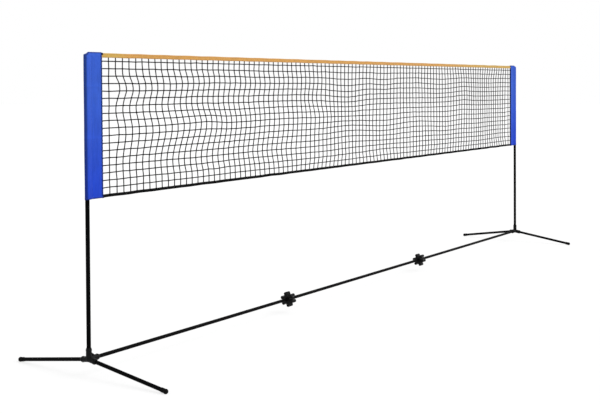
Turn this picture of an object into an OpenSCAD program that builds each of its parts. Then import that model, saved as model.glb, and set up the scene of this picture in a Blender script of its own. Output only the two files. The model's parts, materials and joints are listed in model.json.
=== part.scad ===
// Free-standing net on two telescoping poles, with a floor frame of plug-together tubes.
// The net runs along X, the feet along Y, and Z is up. The origin is on the floor, midway
// between the poles. Each pole stands in a four-way hub, which also holds two feet and the
// crossbar. All dimensions are in millimetres.

/* [Overall] */
// Distance between the two pole axes
pole_span = 5105; // [4600:5:5600]
// Height of the sleeves' tops above the floor
net_top = 1550; // [1500:5:1620]
// Height of the crossbar's axis above the floor
bar_height = 85; // [75:1:100]
// Distance along the floor from a pole's axis to the ball end of a foot
foot_reach = 490; // [420:1:560]

/* [Tubes] */
// Outer diameter of the lower pole tubes
pole_d = 21; // [20:0.5:22]
// Outer diameter of the foot and crossbar tubes
base_d = 19; // [17:0.5:20]
// Wall thickness of the lower pole tubes
pole_wall = 1; // [0.8:0.1:1.2]
// Wall thickness of the foot and crossbar tubes
base_wall = 1.2; // [1:0.1:1.5]
// Wall thickness of the upper pole tubes
upper_wall = 0.9; // [0.8:0.1:1.2]
// Height of the lower pole tubes' top ends above the floor
lower_top = 900; // [880:5:920]
// How far each upper pole tube reaches down into its lower tube
overlap = 165; // [140:5:180]

/* [Hubs] */
// Radius of the socket walls outside
socket_r = 14; // [13.5:0.1:15]
// Radius of the rounded bead at each socket's mouth
bead_r = 15.2; // [14.6:0.1:16.5]
// Distance from the hub's centre to the pole socket's lip
pole_lip = 54; // [48:1:60]
// Distance from the hub's centre to a foot socket's lip
foot_lip = 50; // [44:1:56]
// Distance from the hub's centre to the crossbar socket's lip
bar_lip = 64; // [60:1:80]
// Height of the gusset above the crossbar's axis
gusset_h = 32; // [26:1:38]
// Length of the gusset from the pole's axis
gusset_l = 38; // [32:1:44]

/* [Stars] */
// Number of rounded lobes on each star connector
star_lobes = 6; // [5:1:8]
// Radius over the lobes of a star connector
star_r = 45.5; // [40:0.5:50]
// Thickness of a star connector along the crossbar
star_w = 42; // [30:1:50]
// Radius of a lobe's round tip
lobe_r = 9; // [7:0.5:10]
// Distance from the left pole's axis to the left star
left_stretch = 1641; // [1600:1:1750]
// Distance from the right pole's axis to the right star
right_stretch = 1787; // [1700:1:1850]

/* [Net] */
// Height of the lower hem of the sleeves above the floor
sleeve_bottom = 846.5; // [820:0.5:880]
// Distance from a pole's axis to the sleeve's inner edge
sleeve_w = 101; // [90:1:110]
// Distance from the sleeves' tops down to the top of the tape
tape_drop = 4; // [0:1:10]
// Height of the tape along the top of the net
tape_h = 22; // [20:1:35]
// Height of the hem along the bottom of the net
hem_h = 15.5; // [12:0.5:18]
// Thickness of the netting panel
net_t = 0.8; // [0.6:0.1:1.2]

/* [Hidden] */
$fn = 64;
half = pole_span / 2;
fit = 0.05;             // radial clearance of plugged and sliding tubes
slip = 0.1;             // radial clearance of the upper pole in the lower pole

pole_r = pole_d / 2;
pole_bore = pole_r - pole_wall;
upper_r = pole_bore - slip;
upper_bore = upper_r - upper_wall;
base_r = base_d / 2;
base_bore = base_r - base_wall;

pole_seat = 14;         // from the hub's centre to the end of a tube in its socket
base_seat = 15;
hub_swell = 1.2;        // how far the hub's middle stands out beyond its sockets
lip_wall = 1.6;         // wall at a socket's lip
bead_back = 11;         // from a socket's lip to the middle of its bead
bead_round = 5;         // radius of the bead's section
body_back = 6;          // from a socket's lip to the end of its straight wall
core_back = 2;
foot_ball = 12.2;       // radius of a foot's ball end
foot_flat = 0.7;        // depth of the flat worn off under the ball
ball_wall = 4;          // from a foot tube's end to the ball's middle
ball_z = foot_ball - foot_flat;
foot_drop = bar_height - ball_z;
foot_len = norm([foot_reach, foot_drop]);
foot_tilt = atan(foot_drop / foot_reach);
foot_end = foot_len - ball_wall;
cap_len = 26;

left_star_x = left_stretch - half;
right_star_x = half - right_stretch;
star_face = star_w / 2;
boss_h = 5;
star_gap = star_face + boss_h;  // from a star's middle to the tubes' ends
left_star_turn = 44;    // angle from straight down to a lobe, as the bar was pushed together
right_star_turn = 36;
spigot = 60;            // how far a spigot or a reduced tube end reaches into a tube
swage = 8;              // length of thick wall before a tube's reduced end
bar_start = half - base_seat;
left_joint = (left_star_x - star_gap - bar_start) / 2;
middle_joint = (left_star_x + right_star_x) / 2;
right_joint = (right_star_x + star_gap + bar_start) / 2;

upper_bottom = lower_top - overlap;
upper_top = net_top - 20;
cap_rim = 2;
cap_plug = 20;          // how far a pole cap reaches into its tube
lock_plug_l = 22;       // how far a lock plug reaches into its tube
lock_slack = 0.4;       // radial clearance of the flange below the lock ring
lock_ring_l = 21;
lock_neck = 4.5;
lock_flange = 4;
bush_r = pole_r + 0.6;
bush_l = 18;
bush_lip = 3;

pocket_r = bush_r + 0.3;        // inner radius of the pole pocket in a sleeve
sleeve_r = pocket_r + 1;
sleeve_round = 8;       // radius of the pocket's top edge
sleeve_t = 3;
tape_t = 2.6;
cord_r = 1.5;
tape_bead = 2.6;        // radius of a tape round its cord
hem_lift = 0.5;         // from the sleeves' lower hem up to the bottom hem
mesh_end = half - sleeve_w;
mesh_top = net_top - tape_drop - tape_h;
mesh_bottom = sleeve_bottom + hem_lift + hem_h;
top_cord_z = net_top - tape_drop - tape_bead;
hem_cord_z = sleeve_bottom + hem_lift + tape_bead;

ENDS = ["rear", "front"];

// Places its children at the left pole's axis, or mirrored at the right pole's axis
module at_side(side) {
    if (side == "left")
        translate([-half, 0, 0]) children();
    else
        mirror([1, 0, 0]) translate([-half, 0, 0]) children();
}

// Lays an upright shape along the rear or the front foot's axis, from the hub's centre
module along_foot(end) {
    turn = end == "rear" ? 1 : -1;
    translate([0, 0, bar_height]) rotate([-turn * (90 + foot_tilt), 0, 0]) children();
}

// Lays an upright shape along the crossbar, from x outwards in +X
module along_bar(x) {
    translate([x, 0, bar_height]) rotate([0, 90, 0]) children();
}

module tube(outer, bore, from, to) {
    translate([0, 0, from]) difference() {
        cylinder(r = outer, h = to - from);
        translate([0, 0, -1]) cylinder(r = bore, h = to - from + 2);
    }
}

// A round socket on +Z, solid, with a rounded bead near its mouth and a chamfered lip
module socket_body(lip, tube_r) {
    bead_mid = lip - bead_back;
    rotate_extrude() union() {
        square([socket_r, lip - body_back]);
        translate([bead_r - bead_round, bead_mid]) circle(r = bead_round, $fn = 40);
        square([bead_r - bead_round, lip - core_back]);
        polygon([[0, bead_mid], [bead_r, bead_mid], [tube_r + lip_wall, lip], [0, lip]]);
    }
}

module hub(side) {
    color("#232326")
    at_side(side) difference() {
        union() {
            translate([0, 0, bar_height]) sphere(r = socket_r + hub_swell);
            translate([0, 0, bar_height]) socket_body(pole_lip, pole_r);
            along_bar(0) socket_body(bar_lip, base_r);
            for (end = ENDS)
                along_foot(end) socket_body(foot_lip, base_r);
            gusset();
        }
        translate([0, 0, bar_height + pole_seat]) cylinder(r = pole_r + fit, h = pole_lip);
        along_bar(base_seat) cylinder(r = base_r + fit, h = bar_lip);
        for (end = ENDS)
            along_foot(end) translate([0, 0, base_seat]) cylinder(r = base_r + fit, h = foot_lip);
    }
}

// The triangular rib between the pole socket and the crossbar socket
module gusset() {
    rib = 5;
    translate([0, rib / 2, bar_height]) rotate([90, 0, 0]) linear_extrude(rib)
        polygon([[0, 0], [gusset_l, 0], [gusset_l, socket_r - 1],
                 [socket_r - 1, gusset_h], [0, gusset_h]]);
}

module foot(side, end) {
    color("#1b1b1d")
    at_side(side) along_foot(end) tube(base_r, base_bore, base_seat, foot_end);
}

// A rubber end cap: a ball with a short neck, worn flat where it stands on the floor
module foot_cap(side, end) {
    color("#141415")
    at_side(side) difference() {
        along_foot(end) difference() {
            union() {
                translate([0, 0, foot_len]) sphere(r = foot_ball);
                translate([0, 0, foot_len - cap_len]) cap_neck();
            }
            translate([0, 0, foot_len - cap_len - 1])
                cylinder(r = base_r + fit, h = foot_end - foot_len + cap_len + 1);
        }
        translate([-50, -foot_reach - 50, -50]) cube([100, 2 * foot_reach + 100, 50]);
    }
}

module cap_neck() {
    neck_r = base_r + 1.5;
    lip_r = 1;
    rotate_extrude() union() {
        square([neck_r - lip_r, cap_len]);
        translate([0, lip_r]) square([neck_r, cap_len - lip_r]);
        translate([neck_r - lip_r, lip_r]) circle(r = lip_r, $fn = 24);
    }
}

// A crossbar tube; a reduced end plugs into the next tube
module bar_tube(from, to, reduced) {
    color("#1b1b1d")
    along_bar(from) difference() {
        union() {
            cylinder(r = base_r, h = to - from);
            if (reduced)
                cylinder(r = base_bore - fit, h = to - from + spigot);
        }
        translate([0, 0, -1]) cylinder(r = base_bore - base_wall, h = to - from + spigot + 2);
        if (reduced)
            translate([0, 0, -1]) cylinder(r = base_bore, h = to - from - swage);
        else
            translate([0, 0, -1]) cylinder(r = base_bore, h = to - from + 2);
    }
}

// A star connector: a wheel of round lobes with a boss and a spigot on each face
module star(x, turn) {
    boss_r = 13;
    color("#232326")
    along_bar(x) union() {
        intersection() {
            rotate(turn) linear_extrude(star_w, center = true) star_outline();
            rotate_extrude() rounded_band(star_r, star_face, 4);
        }
        cylinder(r = boss_r, h = star_w + 2 * boss_h, center = true);
        cylinder(r = base_bore - fit, h = star_w + 2 * spigot, center = true);
    }
}

module star_outline() {
    core_r = 24;
    for (i = [0 : star_lobes - 1])
        rotate(i * 360 / star_lobes) {
            translate([star_r - lobe_r, 0]) circle(r = lobe_r);
            translate([0, -lobe_r]) square([star_r - lobe_r, 2 * lobe_r]);
        }
    circle(r = core_r);
}

// Half the section of a wheel with rounded outer edges
module rounded_band(outer, face, corner) {
    translate([0, -face]) square([outer - corner, 2 * face]);
    translate([0, corner - face]) square([outer, 2 * (face - corner)]);
    for (s = [-1, 1])
        translate([outer - corner, s * (face - corner)]) circle(r = corner, $fn = 32);
}

module lower_pole(side) {
    color("#1b1b1d")
    at_side(side) tube(pole_r, pole_bore, bar_height + pole_seat, lower_top);
}

// The bush pressed over the lower pole's top end, which guides the upper pole
module pole_bush(side) {
    color("#2a2a2e")
    at_side(side) translate([0, 0, lower_top - bush_l + bush_lip]) difference() {
        cylinder(r = bush_r, h = bush_l);
        translate([0, 0, -1]) cylinder(r = pole_r + fit, h = bush_l - bush_lip + 1);
        cylinder(r = upper_r + fit, h = bush_l + 1);
    }
}

module upper_pole(side) {
    color("#1b1b1d")
    at_side(side) tube(upper_r, upper_bore, upper_bottom, upper_top);
}

module pole_cap(side) {
    dome_r = upper_r;
    dome_h = 5;
    dome_curve = 15;
    color("#2a2a2e")
    at_side(side) translate([0, 0, upper_top]) union() {
        translate([0, 0, -cap_plug]) cylinder(r = upper_bore - fit, h = cap_plug + 1);
        cylinder(r = dome_r, h = cap_rim);
        translate([0, 0, cap_rim]) intersection() {
            translate([0, 0, dome_h - dome_curve]) sphere(r = dome_curve);
            cylinder(r = dome_r, h = dome_h);
        }
    }
}

// The plug pressed into the upper pole's lower end; its neck carries the lock ring
module lock_plug(side) {
    color("#303034")
    at_side(side) translate([0, 0, upper_bottom]) union() {
        translate([0, 0, -lock_flange]) cylinder(r = upper_bore - fit, h = lock_flange + lock_plug_l);
        translate([0, 0, -lock_flange]) cylinder(r = upper_r - fit, h = lock_flange);
        translate([0, 0, -lock_flange - lock_ring_l - 1])
            cylinder(r = lock_neck, h = lock_ring_l + 2);
        translate([0, 0, -2 * lock_flange - lock_ring_l - 1])
            cylinder(r = upper_r - lock_slack, h = lock_flange);
    }
}

// The split ring that swells against the lower pole's wall when the upper pole is twisted
module lock_ring(side) {
    split_w = 2;
    color("#d8d8d2")
    at_side(side) translate([0, 0, upper_bottom - lock_flange - lock_ring_l - 0.5]) difference() {
        cylinder(r = upper_r, h = lock_ring_l);
        translate([0, 0, -1]) cylinder(r = lock_neck + fit, h = lock_ring_l + 2);
        translate([0, -split_w / 2, -1]) cube([upper_r + 1, split_w, lock_ring_l + 2]);
    }
}

// The netting as one thin closed panel between the tape and the hem
module netting() {
    color("#3a3a3c")
    translate([-mesh_end, -net_t / 2, mesh_bottom])
        cube([2 * mesh_end, net_t, mesh_top - mesh_bottom]);
}

// A folded tape with a cord channel along its outer edge
module folded_tape(edge_z, fold_z) {
    low = min(edge_z, fold_z);
    high = max(edge_z, fold_z);
    difference() {
        union() {
            translate([-mesh_end, -tape_t / 2, low]) cube([2 * mesh_end, tape_t, high - low]);
            translate([-mesh_end, 0, fold_z]) rotate([0, 90, 0])
                cylinder(r = tape_bead, h = 2 * mesh_end);
        }
        translate([-mesh_end - 1, 0, fold_z]) rotate([0, 90, 0])
            cylinder(r = cord_r + fit, h = 2 * mesh_end + 2);
    }
}

module top_tape() {
    color("#d09e5c")
    folded_tape(mesh_top, top_cord_z);
}

module bottom_hem() {
    color("#1a1a1a")
    folded_tape(mesh_bottom, hem_cord_z);
}

module edge_cord(z) {
    color("#e8e8e0")
    translate([-mesh_end, 0, z]) rotate([0, 90, 0]) cylinder(r = cord_r, h = 2 * mesh_end);
}

// A fabric sleeve: a pocket round the pole, closed at the top, and a flat band to the net
module sleeve(side) {
    color("#2d4dc9")
    at_side(side) difference() {
        union() {
            rotate_extrude() pocket_outline(sleeve_r, sleeve_bottom, net_top, sleeve_round);
            translate([0, -sleeve_t / 2, sleeve_bottom])
                cube([sleeve_w, sleeve_t, net_top - sleeve_bottom]);
        }
        rotate_extrude()
            pocket_outline(pocket_r, sleeve_bottom - 1, net_top - sleeve_r + pocket_r,
                           sleeve_round + pocket_r - sleeve_r);
    }
}

// Half the outline of an upright round pocket with a rounded top edge
module pocket_outline(outer, from, to, corner) {
    translate([0, from]) square([outer, to - from - corner]);
    translate([0, to - corner - 1]) square([outer - corner, corner + 1]);
    translate([outer - corner, to - corner]) intersection() {
        circle(r = corner);
        square(corner);
    }
}

hub("left");  // left_hub
hub("right");  // right_hub
foot("left", "rear");  // left_rear_foot
foot("left", "front");  // left_front_foot
foot("right", "rear");  // right_rear_foot
foot("right", "front");  // right_front_foot
foot_cap("left", "rear");  // left_rear_foot_cap
foot_cap("left", "front");  // left_front_foot_cap
foot_cap("right", "rear");  // right_rear_foot_cap
foot_cap("right", "front");  // right_front_foot_cap
bar_tube(-bar_start, left_joint, true);  // left_bar_outer
bar_tube(left_joint, left_star_x - star_gap, false);  // left_bar_inner
bar_tube(left_star_x + star_gap, middle_joint, true);  // middle_bar_left
bar_tube(middle_joint, right_star_x - star_gap, false);  // middle_bar_right
bar_tube(right_star_x + star_gap, right_joint, true);  // right_bar_inner
bar_tube(right_joint, bar_start, false);  // right_bar_outer
star(left_star_x, left_star_turn);  // left_star
star(right_star_x, right_star_turn);  // right_star
lower_pole("left");  // left_lower_pole
lower_pole("right");  // right_lower_pole
pole_bush("left");  // left_pole_bush
pole_bush("right");  // right_pole_bush
upper_pole("left");  // left_upper_pole
upper_pole("right");  // right_upper_pole
pole_cap("left");  // left_pole_cap
pole_cap("right");  // right_pole_cap
lock_plug("left");  // left_lock_plug
lock_plug("right");  // right_lock_plug
lock_ring("left");  // left_lock_ring
lock_ring("right");  // right_lock_ring
sleeve("left");  // left_sleeve
sleeve("right");  // right_sleeve
netting();
top_tape();
edge_cord(top_cord_z);  // head_cord
bottom_hem();
edge_cord(hem_cord_z);  // foot_cord
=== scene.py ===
"""A free-standing net on two telescoping poles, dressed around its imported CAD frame.

The CAD tubes, hubs, stars and caps stay as they are and get their finishes here. The netting,
the tapes along its edges and the two pole sleeves are built here as thread and cloth.
"""

import json
import math

import bpy
import numpy as np
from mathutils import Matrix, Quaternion, Vector


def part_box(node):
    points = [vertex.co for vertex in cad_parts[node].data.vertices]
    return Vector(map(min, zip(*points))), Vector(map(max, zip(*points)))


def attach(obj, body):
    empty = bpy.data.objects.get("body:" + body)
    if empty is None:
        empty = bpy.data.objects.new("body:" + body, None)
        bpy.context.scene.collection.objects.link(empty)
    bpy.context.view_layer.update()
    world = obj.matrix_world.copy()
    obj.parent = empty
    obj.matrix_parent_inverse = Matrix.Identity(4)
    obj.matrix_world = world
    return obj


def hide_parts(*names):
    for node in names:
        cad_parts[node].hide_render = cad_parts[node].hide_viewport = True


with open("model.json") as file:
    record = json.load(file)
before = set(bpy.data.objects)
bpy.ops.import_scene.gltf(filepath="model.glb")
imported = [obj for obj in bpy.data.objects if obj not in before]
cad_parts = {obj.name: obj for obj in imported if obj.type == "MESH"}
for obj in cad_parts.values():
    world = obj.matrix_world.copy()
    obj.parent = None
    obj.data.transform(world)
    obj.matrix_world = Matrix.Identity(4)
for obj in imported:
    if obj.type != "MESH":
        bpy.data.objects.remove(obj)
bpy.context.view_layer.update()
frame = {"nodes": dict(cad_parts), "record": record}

MM = 0.001

# Places, from the frame
NET_LOW, NET_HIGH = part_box("netting")
TAPE_LOW, TAPE_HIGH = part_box("top_tape")
HEM_LOW, HEM_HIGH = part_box("bottom_hem")
SLEEVE_LOW, SLEEVE_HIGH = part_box("left_sleeve")
CAP_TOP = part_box("left_pole_cap")[1].z
HALF_SPAN = -sum(corner.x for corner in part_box("left_lower_pole")) / 2
NET_END = NET_HIGH.x
SLEEVE_W = HALF_SPAN - NET_END

# Netting: a column is an upright thread, and a row is a level one
COLUMNS = 106
ROWS = 18
ROW_PITCH = 36.1 * MM
FIRST_ROW_DROP = 17 * MM   # from the tape down to the first row
TWINE_R = 2.80 * MM
TWINE_SIDES = 6
STEPS_PER_CELL = 3
TUCK = 7 * MM              # how far a thread's end runs into the tape, hem or sleeve
KNOT_SIZE = (4.8 * MM, 3.9 * MM, 5.0 * MM)   # half its size along x, y and z
KNOT_SLIP = (0.6 * MM, 0.3 * MM, 0.6 * MM)   # how unevenly the knots are placed
TAUT_TOP = 100 * MM        # the slack dies out over this height below the tape,
TAUT_BOTTOM = 70 * MM      # and over this one above the hem
FREE_COLUMN = 90 * MM      # from a sleeve to the first column that hangs slack
BULGE = 25 * MM            # how far the columns bulge sideways near the left end
BULGE_FADE = (0.9, 2.0)    # the bulges fade out between these distances from the left sleeve
BULGE_TOP = 1.372          # height of the uppermost bulge
BULGE_RISE = 30 * MM       # that height grows by this much between the distances of RISE_SPAN
RISE_SPAN = (0.1, 0.8)
BULGE_RATE = 5.39          # bulges per metre downwards, at the uppermost one
BULGE_SPREAD = 3.87        # and how much its average from there down drops with each metre
SWIRLS = [                 # other slack spots: x, z, reach along x and z, then shift in x and z
    (-2.06, 1.39, 0.12, 0.06, -0.007, 0.0),
    (-1.57, 1.39, 0.21, 0.06, -0.014, 0.0),
    (-1.70, 1.19, 0.13, 0.05, 0.0, 0.008),
    (-1.75, 1.16, 0.25, 0.06, 0.008, 0.0),
    (-1.75, 0.99, 0.30, 0.07, -0.015, 0.0),
    (-1.05, 1.00, 0.30, 0.06, -0.016, 0.0),
    (-0.62, 1.31, 0.14, 0.07, -0.022, 0.0),
    (-0.56, 1.18, 0.16, 0.06, 0.012, 0.0),
    (-0.23, 1.35, 0.24, 0.12, 0.0, -0.020),
    (-0.20, 1.07, 0.28, 0.09, 0.0, 0.009),
    (0.25, 1.42, 0.15, 0.09, 0.0, -0.012),
    (0.30, 1.13, 0.22, 0.10, 0.0, -0.010),
    (0.32, 0.92, 0.22, 0.06, 0.0, 0.011),
    (0.75, 1.12, 0.22, 0.09, 0.0, 0.006),
    (1.08, 1.38, 0.22, 0.10, 0.0, -0.010),
    (1.20, 1.09, 0.20, 0.10, 0.0, -0.013),
    (1.50, 1.25, 0.15, 0.15, 0.005, 0.009),
    (1.95, 1.08, 0.35, 0.15, 0.0, -0.007)]

# Cloth
CLOTH_T = 0.7 * MM
POCKET_R = 11.6 * MM       # middle of the cloth round the pole
SEAM_X = 31 * MM           # from the pole's axis to the seam that closes the pocket
SEAM_HALF = 1.3 * MM       # half the gap between the two layers at that seam
EDGE_HALF = 3.1 * MM       # and at the inner edge, over the net's outermost thread
CORNER_RUN = 25 * MM       # the top edge slopes down by CORNER_FALL over the outermost CORNER_RUN
CORNER_FALL = 16 * MM
TOP_CLOSE = 20 * MM        # the layers draw together over this height below the top edge,
TOP_LID = 1 * MM           # but over as little as this one above the pole's cap,
TOP_FLAT = 0.25            # and lie flat on each other over this share of it
HEM_FOLD = 11 * MM
CREASES = (1.385, 1.137)   # heights where the sleeve was folded in its bag
STITCH_R = 0.28 * MM
STITCH_SHARES = np.array([0, 0.18, 0.5, 0.82, 1])    # where a stitch's points lie along it


# ---------------------------------------------------------------- materials

class Shader:
    """One procedural material: a Principled shader and short calls that add nodes to it."""

    def __init__(self, name, color, roughness, **sockets):
        self.material = bpy.data.materials.new(name)
        self.material.use_nodes = True
        self.tree = self.material.node_tree
        self.bsdf = self.tree.nodes["Principled BSDF"]
        self.coordinates = self.tree.nodes.new("ShaderNodeTexCoord")
        self.set("Base Color", (*color, 1))
        self.set("Roughness", roughness)
        for socket, value in sockets.items():
            self.set(socket.replace("_", " "), value)

    def set(self, socket, value):
        self.bsdf.inputs[socket].default_value = value

    def node(self, kind, *inputs, **settings):
        """Adds a node; each input is a socket to link, a value to set, or None to leave alone."""
        node = self.tree.nodes.new("ShaderNode" + kind)
        for key, value in settings.items():
            setattr(node, key, value)
        for socket, value in zip(node.inputs, inputs):
            if isinstance(value, bpy.types.NodeSocket):
                self.tree.links.new(value, socket)
            elif value is not None:
                socket.default_value = value
        return node.outputs[0]

    def drive(self, socket, output):
        self.tree.links.new(output, self.bsdf.inputs[socket])

    def math(self, operation, *inputs):
        return self.node("Math", *inputs, operation=operation)

    def place(self, stretch=(1, 1, 1), source="Object"):
        """Coordinates in metres, stretched along each axis."""
        return self.node("Mapping", self.coordinates.outputs[source], None, None, stretch)

    def noise(self, scale, detail=3, stretch=(1, 1, 1)):
        return self.node("TexNoise", self.place(stretch), None, scale, detail)

    def span(self, value, low, high, to_low=0, to_high=1):
        """Maps low..high to to_low..to_high, clamped."""
        return self.node("MapRange", value, low, high, to_low, to_high)

    def blend(self, factor, a, b):
        """Mixes two colours, each a socket or a plain triple."""
        node = self.tree.nodes.new("ShaderNodeMix")
        node.data_type = "RGBA"
        for index, value in ((0, factor), (6, a), (7, b)):
            if isinstance(value, bpy.types.NodeSocket):
                self.tree.links.new(value, node.inputs[index])
            else:
                node.inputs[index].default_value = (*value, 1)
        return node.outputs[2]

    def bump(self, height, distance, strength=1.0, under=None):
        node = self.tree.nodes.new("ShaderNodeBump")
        node.inputs["Strength"].default_value = strength
        node.inputs["Distance"].default_value = distance
        self.tree.links.new(height, node.inputs["Height"])
        if under is not None:
            self.tree.links.new(under, node.inputs["Normal"])
        self.drive("Normal", node.outputs[0])
        return node.outputs[0]

    def weave(self, pitch):
        """The height of a plain weave of that thread pitch, and which thread is on top."""
        u, v, _ = self.split(self.place(source="UV"))
        across = self.math("SINE", self.math("MULTIPLY", u, math.pi / pitch))
        along = self.math("SINE", self.math("MULTIPLY", v, math.pi / pitch))
        checker = self.math("MULTIPLY", across, along)
        return self.math("ABSOLUTE", checker), checker

    def split(self, vector):
        node = self.tree.nodes.new("ShaderNodeSeparateXYZ")
        self.tree.links.new(vector, node.inputs[0])
        return node.outputs

    def height_above(self, low, high):
        """0 at the height low, and 1 at high."""
        return self.span(self.split(self.place())[2], low, high)


def powder_coat():
    """Satin black powder coat: a fine orange peel, dull patches and a few thin scuffs."""
    s = Shader("powder_coat", (0.001, 0.001, 0.001), 0.42, Specular_IOR_Level=0.025)
    patches = s.noise(14, 4)
    scuffs = s.span(s.noise(90, 6, (1, 1, 0.25)), 0.66, 0.74)
    s.drive("Roughness", s.span(patches, 0.3, 0.7, 0.36, 0.52))
    tone = s.blend(s.span(patches, 0.35, 0.7), (0.0005, 0.0005, 0.0006), (0.0014, 0.0014, 0.0016))
    s.drive("Base Color", s.blend(s.math("MULTIPLY", scuffs, 0.3), tone, (0.012, 0.012, 0.013)))
    s.bump(s.noise(1100, 2), 0.05 * MM, 0.6)
    return s.material


def moulded_plastic(name, color, light, roughness):
    """Moulded plastic: a spark-eroded grain, flow marks and slightly paler rubbed patches."""
    s = Shader(name, color, roughness, Specular_IOR_Level=0.07)
    flow = s.noise(22, 5, (1, 1, 2.2))
    rub = s.span(s.noise(160, 4), 0.56, 0.72)
    tone = s.blend(s.span(flow, 0.35, 0.68), color, light)
    rubbed = tuple(min(1, 1.7 * c + 0.003) for c in light)
    s.drive("Base Color", s.blend(s.math("MULTIPLY", rub, 0.4), tone, rubbed))
    s.drive("Roughness", s.span(flow, 0.3, 0.7, roughness - 0.07, roughness + 0.09))
    grain = s.bump(s.noise(2600, 2), 0.06 * MM, 0.7)
    s.bump(flow, 0.4 * MM, 0.35, grain)
    return s.material


def foot_rubber():
    """Dull rubber with a fine grain, greyed by dust towards the floor."""
    s = Shader("foot_rubber", (0.002, 0.002, 0.002), 0.7, Specular_IOR_Level=0.06)
    dust = s.math("MULTIPLY", s.noise(220, 5), s.span(s.height_above(0, 0.022), 0, 1, 1, 0))
    clean, dusty = (0.0018, 0.0018, 0.0018), (0.012, 0.011, 0.010)
    s.drive("Base Color", s.blend(s.span(dust, 0.2, 0.6), clean, dusty))
    s.drive("Roughness", s.span(s.noise(60), 0.3, 0.7, 0.62, 0.82))
    s.bump(s.noise(1500, 3), 0.1 * MM, 0.6)
    return s.material


def sleeve_cloth():
    """Royal blue oxford cloth: a plain weave, faint slubs, and deeper colour near the hem.

    Painted shade darkens it along all its edges.
    """
    s = Shader("sleeve_cloth", (0.02, 0.06, 0.42), 0.78,
               Specular_IOR_Level=0.12, Sheen_Weight=0.05, Sheen_Roughness=0.5,
               Sheen_Tint=(0.3, 0.4, 1.0, 1))
    height, over = s.weave(0.75 * MM)
    full_tone = 0.7    # share of the height where the deeper colour of the hem ends
    rise = s.height_above(SLEEVE_LOW.z, SLEEVE_LOW.z + full_tone * (SLEEVE_HIGH.z - SLEEVE_LOW.z))
    tone = s.blend(rise, (0.007, 0.039, 0.439), (0.026, 0.082, 0.452))
    slubs = s.span(s.noise(260, 4, (1, 1, 0.06)), 0.35, 0.75, 0.86, 1.08)
    threads = s.span(over, -0.6, 0.6, 0.9, 1.05)
    faded = s.span(s.noise(9, 4), 0.35, 0.65, 0.93, 1.05)
    shade = s.math("MULTIPLY", s.math("MULTIPLY", slubs, threads), faded)
    # painted highlight: the cloth is up to 9 % paler just above each crease, fading out over 35 mm
    # upwards
    for crease in CREASES:
        above = s.math("SUBTRACT", s.split(s.place())[2], crease)
        fade = s.span(above, 0, 35 * MM, 0.09, 0)
        painted_crease_highlight = s.math("MULTIPLY", s.span(above, -1 * MM, 1 * MM), fade)
        shade = s.math("MULTIPLY", shade, s.math("ADD", painted_crease_highlight, 1))
    # painted shade: the colour darkens to about half within 3 to 8 mm of every edge of the sleeve
    painted_edge_shade = s.span(sleeve_rim(s), 3 * MM, 8 * MM, 0.46, 1)
    s.drive("Base Color", s.blend(s.math("MULTIPLY", shade, painted_edge_shade), (0.001, 0.002, 0.004), tone))
    s.drive("Roughness", s.span(s.noise(35), 0.3, 0.7, 0.7, 0.85))
    weave = s.bump(height, 0.09 * MM, 0.8)
    s.bump(s.noise(60, 4), 0.8 * MM, 0.25, weave)
    return s.material


def sleeve_rim(s):
    """How far a point of a sleeve is from the nearest of its edges, in metres."""
    x, _, z = s.split(s.place())
    outer = s.math("SUBTRACT", HALF_SPAN + POCKET_R, s.math("ABSOLUTE", x))
    inner = s.math("SUBTRACT", SLEEVE_W + POCKET_R, outer)
    top = s.math("SUBTRACT", SLEEVE_HIGH.z, z)
    bottom = s.math("SUBTRACT", z, SLEEVE_LOW.z)
    slope = math.hypot(CORNER_RUN, CORNER_FALL)
    corner = s.math("ADD", s.math("MULTIPLY", outer, CORNER_FALL / slope),
                    s.math("MULTIPLY", top, CORNER_RUN / slope))
    corner = s.math("SUBTRACT", corner, CORNER_FALL * CORNER_RUN / slope)
    rim = outer
    for edge in (inner, top, bottom, corner):
        rim = s.math("MINIMUM", rim, edge)
    return rim


def tape_cloth():
    """Orange polyester tape: ribbed across, and more golden near both of its ends."""
    s = Shader("tape_cloth", (0.45, 0.22, 0.07), 0.62,
               Specular_IOR_Level=0.3, Sheen_Weight=0.15, Sheen_Roughness=0.4)
    rib, _ = s.weave(0.6 * MM)
    along = s.split(s.place())[0]
    left_from, left_to = 0.10, 0.19      # metres from the left sleeve
    right_from, right_to = 1.40, 0.50    # and from the right one
    left = s.span(along, left_from - NET_END, left_to - NET_END, 1, 0)
    right = s.span(along, NET_END - right_from, NET_END - right_to)
    tone = s.blend(s.math("MAXIMUM", left, right), (0.480, 0.238, 0.047), (0.450, 0.276, 0.051))
    shade = s.span(s.noise(120, 4, (0.15, 1, 1)), 0.3, 0.75, 0.84, 1.06)
    s.drive("Base Color", s.blend(shade, (0.02, 0.01, 0.0), tone))
    s.bump(rib, 0.08 * MM, 0.8)
    return s.material


def woven_black():
    """Black woven tape for the bottom hem."""
    s = Shader("woven_black", (0.002, 0.002, 0.002), 0.8, Specular_IOR_Level=0.04)
    rib, over = s.weave(0.6 * MM)
    dark, light = (0.001, 0.001, 0.001), (0.003, 0.003, 0.0035)
    s.drive("Base Color", s.blend(s.span(over, -0.6, 0.6), dark, light))
    s.bump(rib, 0.08 * MM, 0.8)
    return s.material


def braid(name, dark, light, pitch, strands):
    """Braided twine or cord: two sets of strands that wind opposite ways round it."""
    s = Shader(name, light, 0.74, Specular_IOR_Level=0.06)
    along, around, _ = s.split(s.place(source="UV"))
    wound = s.math("MULTIPLY", around, 2 * math.pi * strands)
    climb = s.math("MULTIPLY", along, 2 * math.pi / pitch)
    left = s.math("SINE", s.math("ADD", climb, wound))
    right = s.math("SINE", s.math("SUBTRACT", climb, wound))
    height = s.math("MAXIMUM", left, right)
    # painted shade: the grooves between the strands are darker than the strands' tops
    s.drive("Base Color", s.blend(s.span(height, -0.6, 0.9), dark, light))
    s.bump(height, 0.12 * MM, 0.8)
    return s.material


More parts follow.
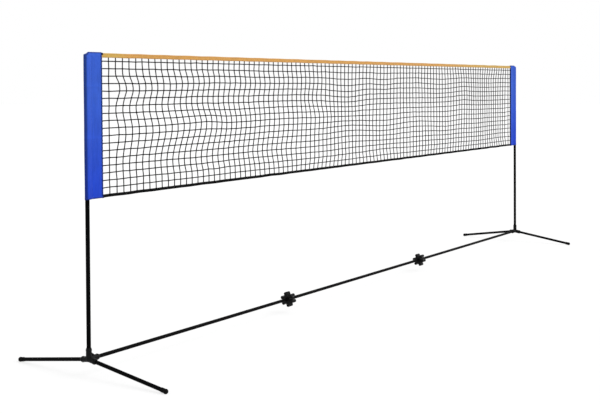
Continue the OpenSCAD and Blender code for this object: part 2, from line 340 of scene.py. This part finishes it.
def twisted_thread(name, color):
    """Sewing thread, twisted from two plies."""
    s = Shader(name, color, 0.55, Sheen_Weight=0.1)
    along, around, _ = s.split(s.place(source="UV"))
    twist = 5200    # radians per metre
    turn = s.math("ADD", s.math("MULTIPLY", along, twist), s.math("MULTIPLY", around, 4 * math.pi))
    ply = s.math("SINE", turn)
    # painted shade: the groove between the two plies is darker than the plies' tops
    s.drive("Base Color", s.blend(s.span(ply, -1, 1), tuple(0.55 * c for c in color), color))
    s.bump(ply, 0.05 * MM, 0.6)
    return s.material


def studio_floor():
    """A white floor that mostly glows, so it is as bright as the surroundings, with faint shadows."""
    s = Shader("studio_floor", (0.20, 0.20, 0.20), 0.9, Specular_IOR_Level=0.1,
               Emission_Color=(1, 1, 1, 1), Emission_Strength=0.73)
    s.drive("Base Color", s.blend(s.noise(0.8, 2), (0.19, 0.19, 0.19), (0.21, 0.21, 0.21)))
    return s.material


# ---------------------------------------------------------------- mesh helpers

def piece(name, points, faces, material, uvs, body, slot):
    """A smooth mesh in the frame, with its finish, riding on a body."""
    mesh = bpy.data.meshes.new(name)
    mesh.from_pydata(np.asarray(points).tolist(), [], faces)
    mesh.shade_smooth()
    layer = mesh.uv_layers.new(name="metres")
    corner = np.empty(len(mesh.loops), dtype=np.int32)
    mesh.loops.foreach_get("vertex_index", corner)
    layer.data.foreach_set("uv", np.asarray(uvs, dtype=np.float32)[corner].ravel())
    mesh.materials.append(material)
    made = bpy.data.objects.new(name, mesh)
    bpy.context.scene.collection.objects.link(made)
    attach(made, body)
    return made


def tubes(paths, radius, sides, never=(0.0, 1.0, 0.001)):
    """Round tubes along paths, an array of (path, point, xyz). Returns points, faces and UVs.

    never is a direction that the paths never take. The second coordinate of the UVs goes
    round the tube from 0 to 1 and back.
    """
    paths = np.asarray(paths, float)
    count, steps, _ = paths.shape
    ahead = np.gradient(paths, axis=1)
    ahead /= np.linalg.norm(ahead, axis=2, keepdims=True)
    side = np.cross(ahead, never)
    side /= np.linalg.norm(side, axis=2, keepdims=True)
    out = np.cross(side, ahead)
    turn = 2 * math.pi * np.arange(sides) / sides
    ring = (np.cos(turn)[None, None, :, None] * side[:, :, None, :]
            + np.sin(turn)[None, None, :, None] * out[:, :, None, :])
    points = paths[:, :, None, :] + radius * ring
    step = np.linalg.norm(np.diff(paths, axis=1), axis=2)
    along = np.concatenate([np.zeros((count, 1)), np.cumsum(step, axis=1)], axis=1)
    uvs = np.empty((count, steps, sides, 2))
    uvs[..., 0] = along[:, :, None]
    uvs[..., 1] = np.abs(np.arange(sides) * 2 / sides - 1)
    index = np.arange(count * steps * sides).reshape(count, steps, sides)
    a, b = index[:, :-1], index[:, 1:]
    quads = np.stack([a, np.roll(a, -1, axis=2), np.roll(b, -1, axis=2), b], axis=-1)
    faces = quads.reshape(-1, 4).tolist()
    faces += index[:, 0, ::-1].tolist() + index[:, -1].tolist()
    return points.reshape(-1, 3), faces, uvs.reshape(-1, 2)


def joined(parts):
    """Joins several (points, faces, uvs) into one."""
    points, faces, uvs, start = [], [], [], 0
    for part_points, part_faces, part_uvs in parts:
        points.append(part_points)
        uvs.append(part_uvs)
        faces += [[start + i for i in face] for face in part_faces]
        start += len(part_points)
    return np.concatenate(points), faces, np.concatenate(uvs)


def grid_faces(rows, columns, wrap=False):
    """Quads over a grid of points, closed across its columns if wrap is true."""
    index = np.arange(rows * columns).reshape(rows, columns)
    if wrap:
        index = np.concatenate([index, index[:, :1]], axis=1)
    quads = [index[:-1, :-1], index[:-1, 1:], index[1:, 1:], index[1:, :-1]]
    return np.stack(quads, axis=-1).reshape(-1, 4).tolist()


def smooth_line(knots, steps):
    """A Catmull-Rom line through knots, an array of (path, knot, xyz), with steps per span."""
    ends = [2 * knots[:, :1] - knots[:, 1:2], knots, 2 * knots[:, -1:] - knots[:, -2:-1]]
    k = np.concatenate(ends, axis=1)
    t = (np.arange(steps) / steps)[None, None, :, None]
    p0, p1, p2, p3 = (k[:, i:k.shape[1] - 3 + i, None, :] for i in range(4))
    line = 0.5 * (2 * p1 + (p2 - p0) * t + (2 * p0 - 5 * p1 + 4 * p2 - p3) * t ** 2
                  + (3 * p1 - p0 - 3 * p2 + p3) * t ** 3)
    line = line.reshape(len(knots), -1, 3)
    return np.concatenate([line, knots[:, -1:]], axis=1)


class Swell:
    """A smooth, repeatable random field over x and z, of about unit size."""

    def __init__(self, seed, long, tall, waves=7):
        draw = np.random.RandomState(seed)
        self.kx = 2 * math.pi / (long * draw.uniform(0.7, 1.6, waves)) * draw.choice([-1, 1], waves)
        self.kz = 2 * math.pi / (tall * draw.uniform(0.7, 1.6, waves))
        self.start = draw.uniform(0, 2 * math.pi, waves)
        self.gain = math.sqrt(2 / waves)

    def __call__(self, x, z):
        total = 0
        for kx, kz, start in zip(self.kx, self.kz, self.start):
            total = total + np.sin(kx * x + kz * z + start)
        return self.gain * total


def ease(value, low, high):
    """0 below low and 1 above high, smooth between."""
    t = np.clip((value - low) / (high - low), 0, 1)
    return t * t * (3 - 2 * t)


# ---------------------------------------------------------------- netting

def slack(x, z):
    """How far the slack of the net moves the point (x, z) of its plane, in metres.

    Near the left end the columns bulge sideways together, one bulge below another.
    """
    hold = ease(NET_HIGH.z - z, 0, TAUT_TOP) * ease(z - NET_LOW.z, 0, TAUT_BOTTOM)
    hold = hold * ease(NET_END - abs(x), 0.5 * FREE_COLUMN, FREE_COLUMN)
    from_left = x + NET_END
    gathered = 1 - ease(from_left, *BULGE_FADE)
    below = BULGE_TOP + BULGE_RISE * ease(from_left, *RISE_SPAN) - z
    turns = below * (BULGE_RATE - BULGE_SPREAD * below)
    bulge = BULGE * gathered * (0.5 + 0.5 * np.cos(2 * math.pi * turns))
    bulge = bulge * (1 + 0.07 * Swell(29, 0.9, 0.7)(x, z))
    across = bulge + 0.9 * MM * Swell(11, 0.55, 0.26)(x, z)
    level_at_left = ease(from_left, 0.1, 1.0)
    rise = 1.4 * MM * Swell(23, 0.85, 0.5)(x, z) * level_at_left
    for spot_x, spot_z, reach_x, reach_z, shift_x, shift_z in SWIRLS:
        near = np.exp(-((x - spot_x) / reach_x) ** 2 - ((z - spot_z) / reach_z) ** 2)
        across = across + shift_x * near
        rise = rise + shift_z * near
    out = 5 * MM * Swell(37, 1.4, 3.0)(x, z)
    return across * hold, out * hold, rise * hold


def net_knots():
    """The net's knots, as an array of (column, row, xyz)."""
    draw = np.random.RandomState(5)
    x = np.linspace(-NET_END, NET_END, COLUMNS)[:, None]
    z = NET_HIGH.z - FIRST_ROW_DROP - ROW_PITCH * np.arange(ROWS)[None, :]
    x, z = np.broadcast_arrays(x, z)
    across, out, rise = slack(x, z)
    knots = np.stack([x + across, out, z + rise], axis=-1)
    slip = draw.normal(0, 1, knots.shape) * KNOT_SLIP
    slip[[0, -1]] = 0
    return knots + slip


def beyond(knots, axis, start, end):
    """Adds a point before and after each line of knots, at start and end along an axis."""
    first, last = knots[:, :1].copy(), knots[:, -1:].copy()
    for point, place in ((first, start), (last, end)):
        point[..., axis] = place
        point[..., 1] = 0
    return np.concatenate([first, knots, last], axis=1)


def knot_lumps(knots):
    """A lumpy knot at every crossing: an octahedron split once and pushed out round."""
    corners = [(1, 0, 0), (-1, 0, 0), (0, 1, 0), (0, -1, 0), (0, 0, 1), (0, 0, -1)]
    faces, points, middles = [], [list(c) for c in corners], {}

    def middle(a, b):
        key = (min(a, b), max(a, b))
        if key not in middles:
            half = Vector(points[a]) + Vector(points[b])
            middles[key] = len(points)
            points.append(list(half.normalized()))
        return middles[key]

    for sx in (0, 1):
        for sy in (2, 3):
            for sz in (4, 5):
                a, b, c = (sx, sy, sz) if (sx + sy + sz) % 2 == 0 else (sx, sz, sy)
                ab, bc, ca = middle(a, b), middle(b, c), middle(c, a)
                faces += [(a, ab, ca), (ab, b, bc), (ca, bc, c), (ab, bc, ca)]
    ball = np.array(points, float)
    draw = np.random.RandomState(17)
    centres = knots.reshape(-1, 3)
    lumps = ball[None] * np.array(KNOT_SIZE) * draw.uniform(0.82, 1.18, (len(centres), len(ball), 1))
    tilt = draw.uniform(-0.6, 0.6, len(centres))
    cos, sin = np.cos(tilt)[:, None], np.sin(tilt)[:, None]
    turned = np.stack([cos * lumps[..., 0] - sin * lumps[..., 2], lumps[..., 1],
                       sin * lumps[..., 0] + cos * lumps[..., 2]], axis=-1)
    made = (centres[:, None] + turned).reshape(-1, 3)
    starts = len(ball) * np.arange(len(centres))
    all_faces = (starts[:, None, None] + np.array(faces)[None]).reshape(-1, 3).tolist()
    return made, all_faces, np.tile(ball[:, :2] * KNOT_SIZE[0], (len(centres), 1))


def netting(twine):
    """The threads and their knots. Returns the knots' places."""
    knots = net_knots()
    columns = beyond(knots, 2, NET_HIGH.z + TUCK, NET_LOW.z - TUCK)
    rows = beyond(knots.transpose(1, 0, 2), 0, -NET_END - TUCK, NET_END + TUCK)
    lines = [smooth_line(columns, STEPS_PER_CELL), smooth_line(rows, STEPS_PER_CELL)]
    threads = joined([tubes(line, TWINE_R, TWINE_SIDES) for line in lines])
    net = piece("netting_twine", *threads[:2], twine, threads[2], "net_carriage", "net_twine")
    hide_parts("netting")
    lumps = knot_lumps(knots)
    ties = piece("netting_knots", *lumps[:2], twine, lumps[2], "net_carriage", "net_twine")
    return knots


# ---------------------------------------------------------------- tapes and stitches

def tape_outline(half, bead, tall, up):
    """A folded tape's section as (y, z) from its cord channel's centre, going round once.

    up is 1 where the channel is the tape's top edge, and -1 where it is its bottom edge.
    """
    neck = math.asin(half / bead)
    channel = [(bead * math.sin(turn), -bead * math.cos(turn))
               for turn in np.linspace(neck, 2 * math.pi - neck, 14)]
    layer = [(half, -0.3 * tall), (half, -0.65 * tall), (0.9 * half, -0.94 * tall), (0.4 * half, -tall)]
    flat_part = [(-y, z) for y, z in layer] + layer[::-1]
    return np.array([(y, up * z) for y, z in channel + flat_part])


def folded_tape(name, node, low, high, half, bead, up, knots, material, slot):
    """A tape folded over a cord and over the ends of the net's columns, which show as bumps.

    Returns the piece, and how far the tape wanders in y and z, as arrays over x.
    """
    steps = 1 + 10 * (COLUMNS - 1)
    overlap = 1 * MM    # into the sleeves
    x = np.linspace(-NET_END - overlap, NET_END + overlap, steps)
    tall = high - low - bead
    outline = tape_outline(half, bead, tall, up)
    axis_z = high - bead if up > 0 else low + bead
    wobble = 0.25 * MM * Swell(45 + 4 * up, 0.35, 1.0)(x, 0)
    lift = 0.35 * MM * Swell(55 + 4 * up, 0.22, 1.0)(x, 0)
    columns = knots[:, 0 if up > 0 else -1, 0]
    away = np.abs(x[:, None] - columns[None]).min(axis=1)
    cover = 1.3 * MM    # how far the cloth stands over a thread
    bump = (TWINE_R - half + cover) * np.exp(-(away / (5 * MM)) ** 2)
    over_net = np.sign(outline[:, 0]) * ease(-up * outline[:, 1], bead, 0.6 * tall)
    points = np.empty((steps, len(outline), 3))
    points[..., 0] = x[:, None]
    points[..., 1] = outline[None, :, 0] + wobble[:, None] + bump[:, None] * over_net[None]
    points[..., 2] = axis_z + outline[None, :, 1] + lift[:, None]
    girth = np.concatenate([[0], np.cumsum(np.linalg.norm(np.diff(outline, axis=0), axis=1))])
    uvs = np.stack(np.broadcast_arrays(x[:, None], girth[None]), axis=-1)
    faces = grid_faces(steps, len(outline), wrap=True)
    ring = np.arange(len(outline))
    faces += [ring[::-1].tolist(), ((steps - 1) * len(outline) + ring).tolist()]
    cloth = piece(name, points.reshape(-1, 3), faces, material, uvs.reshape(-1, 2), "net_carriage", slot)
    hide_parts(node)
    return cloth, wobble, lift, x


def stitch_paths(starts, ends, out, rise=0.35 * MM):
    """Short stitches that come out of the cloth, lie on it and go back in."""
    starts, ends, out = (np.asarray(v, float) for v in (starts, ends, out))
    lifts = np.array([-0.5, 0.5, 1, 0.5, -0.5]) * rise
    line = starts[:, None] + (ends - starts)[:, None] * STITCH_SHARES[None, :, None]
    return line + out[:, None] * lifts[None, :, None]


def tape_stitches(name, z, half, wobble, lift, x, thread, slot):
    """A row of lock stitches on both faces of a tape."""
    pitch, length = 5 * MM, 3.8 * MM
    begin = np.arange(-NET_END + 4 * MM, NET_END - 6 * MM, pitch)
    parts = []
    for face in (-1, 1):
        y0, z0 = np.interp(begin, x, wobble), z + np.interp(begin, x, lift)
        starts = np.stack([begin, y0 + face * half, z0], axis=-1)
        ends = starts + np.array([length, 0, 0])
        out = np.tile([0.0, face, 0.0], (len(begin), 1))
        parts.append(tubes(stitch_paths(starts, ends, out), STITCH_R, 5))
    points, faces, uvs = joined(parts)
    return piece(name, points, faces, thread, uvs, "net_carriage", slot)


def tapes(knots, orange, black, orange_thread, black_thread):
    """The top tape and the bottom hem, each with its rows of stitches."""
    half, bead, seam_room = 2.4 * MM, 3 * MM, 2 * MM
    cloth, wobble, lift, x = folded_tape("top_tape_cloth", "top_tape", TAPE_LOW.z, TAPE_HIGH.z,
                                         half, bead, 1, knots, orange, "orange_tape")
    seams = [tape_stitches("top_tape_stitches_" + place, z, half, wobble, lift, x,
                           orange_thread, "orange_tape")
             for place, z in (("upper", TAPE_HIGH.z - 8 * MM), ("lower", TAPE_LOW.z + 4 * MM))]
    cloth, wobble, lift, x = folded_tape("bottom_hem_cloth", "bottom_hem", HEM_LOW.z, HEM_HIGH.z,
                                         half, bead, -1, knots, black, "black_hem")
    seam = tape_stitches("bottom_hem_stitches", HEM_HIGH.z - 4 * MM, half, wobble, lift, x,
                         black_thread, "black_hem")


# ---------------------------------------------------------------- sleeves

class Sleeve:
    """The surface of a cloth sleeve round the left pole, mirrored for the right one.

    A place on it is a distance round the section, a, and a height, z. a is 0 at the pole
    pocket's outermost line, positive on the rear and negative on the front.
    """

    def __init__(self, side, seed):
        self.sign = -1 if side == "left" else 1
        self.folds = Swell(seed, 0.055, 0.5)
        self.creases = Swell(seed + 1, 0.03, 0.05)
        self.puckers = Swell(seed + 2, 0.02, 0.011)
        far = math.hypot(SEAM_X, SEAM_HALF)
        leave = math.atan2(SEAM_HALF, SEAM_X) + math.acos(POCKET_R / far)
        turns = np.linspace(math.pi, leave, 24)
        xs = list(POCKET_R * np.cos(turns)) + [SEAM_X, SLEEVE_W]
        ys = list(POCKET_R * np.sin(turns)) + [SEAM_HALF, EDGE_HALF]
        lengths = np.concatenate([[0], np.cumsum(np.hypot(np.diff(xs), np.diff(ys)))])
        self.xs, self.ys, self.lengths = xs, ys, lengths
        self.seam, self.reach = lengths[-2], lengths[-1]

    def fall(self, x):
        """How far the top edge has sloped down at x from the pole's axis."""
        return CORNER_FALL * np.clip(1 - (x + POCKET_R) / CORNER_RUN, 0, 1)

    def base(self, a, z):
        """x from the pole's axis inwards, and y, before wrinkles."""
        soften = 2.2 * MM    # the section is averaged over this reach, which rounds its corners
        offsets = soften * np.linspace(-1, 1, 5)
        spot = np.clip(np.abs(a)[..., None] + offsets, -self.reach, self.reach)
        x = np.interp(np.abs(spot), self.lengths, self.xs).mean(axis=-1)
        y = (np.sign(spot) * np.interp(np.abs(spot), self.lengths, self.ys)).mean(axis=-1)
        clearance = 0.6 * MM
        over_cap = SLEEVE_HIGH.z - self.fall(x) - CAP_TOP - clearance
        room = np.clip(over_cap, TOP_LID, TOP_CLOSE)
        room = room + (TOP_CLOSE - room) * ease(x, POCKET_R, 2 * POCKET_R)
        from_edge = (SLEEVE_HIGH.z - z) / room
        closed = 1 - np.clip((from_edge - TOP_FLAT) / (1 - TOP_FLAT), 0, 1)
        y = np.maximum(y * np.sqrt(1 - closed ** 2), 0.55 * CLOTH_T)
        return x, np.where(a < 0, -y, y)

    def wrinkle(self, a, z):
        """How far the cloth stands out from its base shape."""
        span = np.clip((np.abs(a) - self.seam) / (self.reach - self.seam), 0, 1)
        band = np.sin(math.pi * span)
        from_top = SLEEVE_HIGH.z - z
        key = np.where(a < 0, 0.0, 5.0)    # gives the rear wrinkles of its own
        puff = (0.9 + 0.5 * self.folds(a + key, z)) * MM * band
        fold = 0.3 * MM * np.clip(1 + self.folds(2 * a + key, z), 0, None) * (1 - band)
        creased = np.clip(0.8 + self.creases(a + 0.6 * from_top, z + key), 0, None)
        drag = 0.45 * MM * creased * np.exp(-from_top / 0.07)
        near_seam = np.exp(-((np.abs(a) - self.seam) / (6 * MM)) ** 2)
        near_edge = np.exp(-((self.reach - np.abs(a)) / (9 * MM)) ** 2)
        pucker = 0.22 * MM * self.puckers(a, z) * (near_seam + near_edge)
        sewn = -0.5 * MM * np.exp(-((np.abs(a) - self.seam) / (1.6 * MM)) ** 2)
        ridge = 0.4 * MM * sum(np.exp(-((z - crease - 0.02 * a) / (2.2 * MM)) ** 2)
                               for crease in CREASES)
        hem = 0.35 * MM * (1 - ease(z - SLEEVE_LOW.z, HEM_FOLD - 1 * MM, HEM_FOLD + 1 * MM))
        return (puff + fold + drag + pucker + sewn + ridge) * ease(from_top, 2 * MM, 18 * MM) + hem

    def at(self, a, z, out=0.0):
        """Points of the cloth's middle, moved outwards by out."""
        a, z = np.broadcast_arrays(np.asarray(a, float), np.asarray(z, float))
        small = 0.4 * MM
        x, y = self.base(a, z)
        x1, y1 = self.base(a + small, z)
        x0, y0 = self.base(a - small, z)
        dx, dy = x1 - x0, y1 - y0
        size = np.maximum(np.hypot(dx, dy), 1e-9)
        away = self.wrinkle(a, z) + out
        drop = self.fall(x) * (z - SLEEVE_LOW.z) / (SLEEVE_HIGH.z - SLEEVE_LOW.z)
        x, y = x - dy / size * away, y + dx / size * away
        return np.stack([self.sign * (HALF_SPAN - x), y, z - drop], axis=-1)


def sleeve(side, seed, cloth, thread, lashing):
    """One sleeve: the folded cloth, its seams, and the lashing along its inner edge."""
    shape = Sleeve(side, seed)
    half_steps, low_steps, top_steps, top_band = 46, 172, 26, 22 * MM
    across = np.concatenate([-np.linspace(1, 0, half_steps)[:-1],
                             np.linspace(0, 1, half_steps)]) * shape.reach
    split = SLEEVE_HIGH.z - top_band
    up = np.concatenate([np.linspace(SLEEVE_LOW.z, split, low_steps)[:-1],
                         np.linspace(split, SLEEVE_HIGH.z, top_steps)])
    a, z = np.meshgrid(across, up)
    points = shape.at(a, z)
    made = piece(side + "_sleeve_cloth", points.reshape(-1, 3), grid_faces(*a.shape), cloth,
                 np.stack([a, z], axis=-1).reshape(-1, 2), "net_carriage", "blue_fabric")
    thick = made.modifiers.new("thickness", "SOLIDIFY")
    thick.thickness = CLOTH_T
    thick.offset = 0
    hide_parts(side + "_sleeve")
    seams = sleeve_seams(side, shape, thread)
    tie = edge_lashing(side, shape, lashing)


def sleeve_seams(side, shape, thread):
    """Lock stitches down the pocket and the inner edge, and along the top and the hem."""
    pitch, length = 4.5 * MM, 3.4 * MM
    low, high = SLEEVE_LOW.z + 5 * MM, SLEEVE_HIGH.z - TOP_FLAT * TOP_CLOSE
    inner_seam = shape.reach - 11 * MM
    top_seam, hem_seam = 0.5 * (high + SLEEVE_HIGH.z), SLEEVE_LOW.z + HEM_FOLD - 2 * MM
    spots = []
    for a in (shape.seam, inner_seam):
        for z in np.arange(low, high - length, pitch):
            spots.append((a, z, a, z + length))
    for z in (top_seam, hem_seam):
        for a in np.arange(4 * MM, shape.reach - 8 * MM, pitch):
            spots.append((a, z, a + length, z))
    spots = np.array(spots)
    rise = np.array([-0.16, 0.14, 0.30, 0.14, -0.16]) * MM
    lines = []
    for face in (-1, 1):
        a = face * (spots[:, :1] + (spots[:, 2:3] - spots[:, :1]) * STITCH_SHARES)
        z = spots[:, 1:2] + (spots[:, 3:] - spots[:, 1:2]) * STITCH_SHARES
        lines.append(shape.at(a, z, rise[None] + 0.5 * CLOTH_T))
    points, faces, uvs = tubes(np.concatenate(lines), STITCH_R, 5)
    return piece(side + "_sleeve_stitches", points, faces, thread, uvs, "net_carriage", "blue_fabric")


def edge_lashing(side, shape, cord):
    """Dark cord that whips the net's outermost thread to the sleeve's inner edge.

    It ends in a few tight turns round the ends of the tape and the hem at the corners.
    """
    pitch, bite, radius = 18 * MM, 8 * MM, 1.1 * MM
    margin, slant = 8 * MM, 2 * MM
    turns = int((SLEEVE_HIGH.z - SLEEVE_LOW.z - 2 * margin) / pitch)
    t = np.linspace(0, 1, 12)
    parts = []
    for face in (-1, 1):
        for turn in range(turns):
            z = SLEEVE_LOW.z + margin + pitch * (turn + t) - slant * np.sin(2 * math.pi * t)
            a = face * (shape.reach - bite * np.sin(math.pi * t))
            parts.append(shape.at(a, z, 0.5 * CLOTH_T + 0.5 * radius))
    whips = [corner_whipping(shape.sign, z) for z in (TAPE_HIGH.z - 4 * MM, HEM_LOW.z + 4 * MM)]
    points, faces, uvs = joined([tubes(np.stack(parts), radius, 6),
                                 tubes(np.stack(whips), radius, 8, never=(1.0, 0.0, 0.0))])
    return piece(side + "_sleeve_lashing", points, faces, cord, uvs, "net_carriage", "net_twine")


def corner_whipping(sign, z):
    """Four turns of cord round the end of a tape's cord channel, at the height z."""
    turns, pitch, radius = 4, 2.4 * MM, 5 * MM
    t = np.linspace(0, 1, 24 * turns + 1)
    turn = 2 * math.pi * turns * t
    x = sign * (NET_END + 4 * MM - turns * pitch * t)
    return np.stack([x, radius * np.sin(turn), z + radius * np.cos(turn)], axis=-1)


# ---------------------------------------------------------------- finishes on the CAD parts

def finish_cad():
    """Gives every CAD node that stays in view its own material, by its record slot."""
    looks = {
        "coated_steel": powder_coat(),
        "moulded_black": moulded_plastic("hub_plastic", (0.0022, 0.0022, 0.0024),
                                         (0.0055, 0.0055, 0.006), 0.4),
        "star_black": moulded_plastic("star_plastic", (0.0018, 0.0018, 0.002),
                                      (0.0045, 0.0045, 0.005), 0.4),
        "foot_rubber": foot_rubber(),
        "inner_plastic": moulded_plastic("cap_plastic", (0.02, 0.02, 0.021),
                                         (0.03, 0.03, 0.032), 0.5),
        "ring_plastic": moulded_plastic("ring_plastic", (0.55, 0.55, 0.51),
                                        (0.62, 0.62, 0.58), 0.45),
        "white_cord": braid("edge_cord", (0.5, 0.5, 0.47), (0.72, 0.72, 0.68), 2.2 * MM, 2),
    }
    slots = {row["node"]: row["material_slot"] for row in frame["record"]["subparts"]}
    for name, node in frame["nodes"].items():
        look = looks.get(slots[name])
        if look is not None:
            node.data.materials.clear()
            node.data.materials.append(look)


# ---------------------------------------------------------------- stage, light and camera

def stage():
    """A wide plain floor."""
    mesh = bpy.data.meshes.new("floor")
    size = 60    # metres from its middle to each edge
    mesh.from_pydata([(-size, -size, 0), (size, -size, 0), (size, size, 0), (-size, size, 0)],
                     [], [(0, 1, 2, 3)])
    mesh.materials.append(studio_floor())
    floor = bpy.data.objects.new("floor", mesh)
    bpy.context.scene.collection.objects.link(floor)


def lights():
    """Plain white surroundings, and a wide soft sun from above, in front and a little right."""
    world = bpy.data.worlds.new("studio")
    world.use_nodes = True
    world.node_tree.nodes["Background"].inputs["Color"].default_value = (1, 1, 1, 1)
    world.node_tree.nodes["Background"].inputs["Strength"].default_value = 1.0
    bpy.context.scene.world = world
    sun = bpy.data.lights.new("key", "SUN")
    sun.energy = 2.2
    sun.angle = math.radians(50)
    key = bpy.data.objects.new("key", sun)
    key.rotation_euler = Vector((-0.35, 0.75, -0.75)).to_track_quat("-Z", "Y").to_euler()
    bpy.context.scene.collection.objects.link(key)


def camera():
    """Left of the net and in front of it, a little below its top, looking almost level."""
    lens = bpy.data.cameras.new("camera")
    lens.sensor_width = 36
    lens.lens = 61.345
    lens.shift_y = -0.169
    viewer = bpy.data.objects.new("camera", lens)
    viewer.location = (-5.9585, -3.602, 1.3825)
    turn, down, roll = math.radians(34.8), math.radians(1.11), math.radians(-0.335)
    look = Vector((math.cos(turn) * math.cos(down), math.sin(turn) * math.cos(down), -math.sin(down)))
    aim = look.to_track_quat("-Z", "Y") @ Quaternion((0, 0, 1), roll)
    viewer.rotation_euler = aim.to_euler()
    bpy.context.scene.collection.objects.link(viewer)
    bpy.context.scene.camera = viewer


bpy.context.scene.view_settings.view_transform = "Standard"
stage()
lights()
camera()
finish_cad()
twine_look = braid("net_twine", (0.002, 0.002, 0.002), (0.009, 0.009, 0.010), 2.4 * MM, 2)
knots = netting(twine_look)
tapes(knots, tape_cloth(), woven_black(), twisted_thread("orange_thread", (0.5, 0.25, 0.08)),
      twisted_thread("black_thread", (0.02, 0.02, 0.022)))
blue, blue_thread = sleeve_cloth(), twisted_thread("blue_thread", (0.03, 0.07, 0.45))
lash_look = braid("lashing_cord", (0.006, 0.008, 0.02), (0.012, 0.018, 0.05), 1.8 * MM, 2)
sleeve("left", 61, blue, blue_thread, lash_look)
sleeve("right", 71, blue, blue_thread, lash_look)
